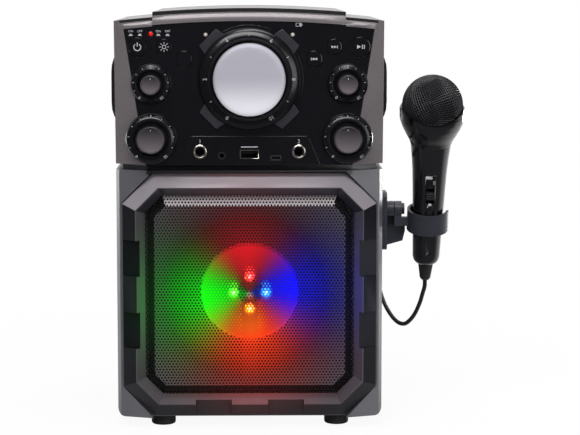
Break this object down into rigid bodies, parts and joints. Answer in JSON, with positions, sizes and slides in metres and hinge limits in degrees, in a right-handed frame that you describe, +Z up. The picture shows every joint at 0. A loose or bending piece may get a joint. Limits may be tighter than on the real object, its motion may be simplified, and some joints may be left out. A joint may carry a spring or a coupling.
{
  "type": "karaoke speaker",
  "caption": "Upright karaoke speaker: a control console with knobs over a lit perforated speaker front, with a wired microphone in a clip on its side.",
  "frame": {"origin": "the middle of the footprint of the cabinet and the held microphone, on the floor under the feet", "axes": "+X to the cabinet's right as its front is looked at, where the microphone hangs; +Y from the front to the back; +Z up"},
  "size_m": [0.2739, 0.2835, 0.325],
  "materials": {
    "case": "satin gunmetal grey",
    "cover": "fine matte charcoal",
    "frame": "satin dark grey",
    "grille": "matte black, perforated",
    "panel": "gloss black",
    "collar": "gloss black",
    "silver": "fine matte silver",
    "knob_grey": "satin dark grey face",
    "button": "gloss black with pale symbols",
    "black": "matte black",
    "rubber": "soft black",
    "nickel": "polished nickel",
    "steel": "plain",
    "board": "green laminate with solder mask",
    "cone": "pale pressed pulp cone",
    "baffle": "painted black board",
    "lamp": "clear lamp bodies, lit",
    "battery": "blue shrink wrap",
    "mesh": "black woven wire",
    "foam": "open black foam",
    "cord": "soft black jacket"
  },
  "bodies": {
    "cabinet": {"lower_case": "case", "upper_case": "case", "top_cover": "cover", "rear_cover": "cover", "rear_screws": "steel", "front_frame": "frame", "grille": "grille", "baffle": "baffle", "speaker_basket": "steel", "speaker_cone": "cone", "speaker_magnet": "steel", "driver_screws": "steel", "light_bracket": "black", "lamp_board": "board", "coloured_lamps": "lamp", "console_panel": "panel", "side_grips": "rubber", "master_collar": "collar", "knob_collars": "collar", "indicator_lamps": "lamp", "control_board": "board", "button_switches": "black", "potentiometers": "steel", "jack_board": "board", "mic_jacks": "black", "mic_jack_nuts": "nickel", "aux_jack": "black", "data_port": "nickel", "charging_port": "nickel", "main_board": "board", "battery_pack": "battery", "feet": "panel", "holder_base": "black", "holder_pin": "steel", "cord_drop": "cord", "cord_run": "cord", "cord_coil": "cord", "cord_tail": "cord", "cord_tie": "black", "mic_plug": "nickel"},
    "master": {"master_knob": "silver"},
    "echo": {"echo_knob": "knob_grey"},
    "balance": {"balance_knob": "knob_grey"},
    "mic1_volume": {"mic1_knob": "knob_grey"},
    "mic2_volume": {"mic2_knob": "knob_grey"},
    "power": {"power_button": "button"},
    "lights": {"lights_button": "button"},
    "source": {"source_button": "button"},
    "previous": {"previous_button": "button"},
    "next": {"next_button": "button"},
    "play": {"play_button": "button"},
    "clip": {"clip_ring": "black"},
    "microphone": {"mic_body": "panel", "mic_collar": "collar", "mic_grille": "mesh", "mic_foam": "foam", "mic_capsule": "steel", "mic_screw": "steel", "mic_strain_relief": "rubber"},
    "switch": {"mic_switch": "black"}
  },
  "joints": [
    {"name": "master_volume", "type": "hinge", "parent": "cabinet", "child": "master", "pos_m": [-0.02933, -0.084, 0.2712], "axis": [0, 1, 0], "range_deg": [-187.7, 92.3]},
    {"name": "echo_level", "type": "hinge", "parent": "cabinet", "child": "echo", "pos_m": [-0.10413, -0.084, 0.2674], "axis": [0, 1, 0], "range_deg": [-140, 140]},
    {"name": "balance_level", "type": "hinge", "parent": "cabinet", "child": "balance", "pos_m": [0.04547, -0.084, 0.2674], "axis": [0, 1, 0], "range_deg": [-140, 140]},
    {"name": "mic1_level", "type": "hinge", "parent": "cabinet", "child": "mic1_volume", "pos_m": [-0.10413, -0.084, 0.2257], "axis": [0, 1, 0], "range_deg": [-140, 140]},
    {"name": "mic2_level", "type": "hinge", "parent": "cabinet", "child": "mic2_volume", "pos_m": [0.04547, -0.084, 0.2257], "axis": [0, 1, 0], "range_deg": [-140, 140]},
    {"name": "power_press", "type": "slide", "parent": "cabinet", "child": "power", "axis": [0, 1, 0], "range_m": [0, 0.0018], "stiffness_N_per_m": 900, "springref_m": -0.0006},
    {"name": "lights_press", "type": "slide", "parent": "cabinet", "child": "lights", "axis": [0, 1, 0], "range_m": [0, 0.0018], "stiffness_N_per_m": 900, "springref_m": -0.0006},
    {"name": "source_press", "type": "slide", "parent": "cabinet", "child": "source", "axis": [0, 1, 0], "range_m": [0, 0.0018], "stiffness_N_per_m": 900, "springref_m": -0.0006},
    {"name": "previous_press", "type": "slide", "parent": "cabinet", "child": "previous", "axis": [0, 1, 0], "range_m": [0, 0.0018], "stiffness_N_per_m": 900, "springref_m": -0.0006},
    {"name": "next_press", "type": "slide", "parent": "cabinet", "child": "next", "axis": [0, 1, 0], "range_m": [0, 0.0018], "stiffness_N_per_m": 900, "springref_m": -0.0006},
    {"name": "play_press", "type": "slide", "parent": "cabinet", "child": "play", "axis": [0, 1, 0], "range_m": [0, 0.0018], "stiffness_N_per_m": 900, "springref_m": -0.0006},
    {"name": "clip_tilt", "type": "hinge", "parent": "cabinet", "child": "clip", "pos_m": [0.08717, -0.042, 0.1673], "axis": [1, 0, 0], "range_deg": [-12, 12], "deforming": ["cord_drop", "cord_run"]},
    {"name": "mic_lift", "type": "slide", "parent": "clip", "child": "microphone", "axis": [0.0101, -0.2756, 0.9612], "range_m": [0, 0.06], "deforming": ["cord_drop"]},
    {"name": "mic_switch", "type": "slide", "parent": "microphone", "child": "switch", "axis": [0.0101, -0.2756, 0.9612], "range_m": [-0.002, 0.002]}
  ]
}
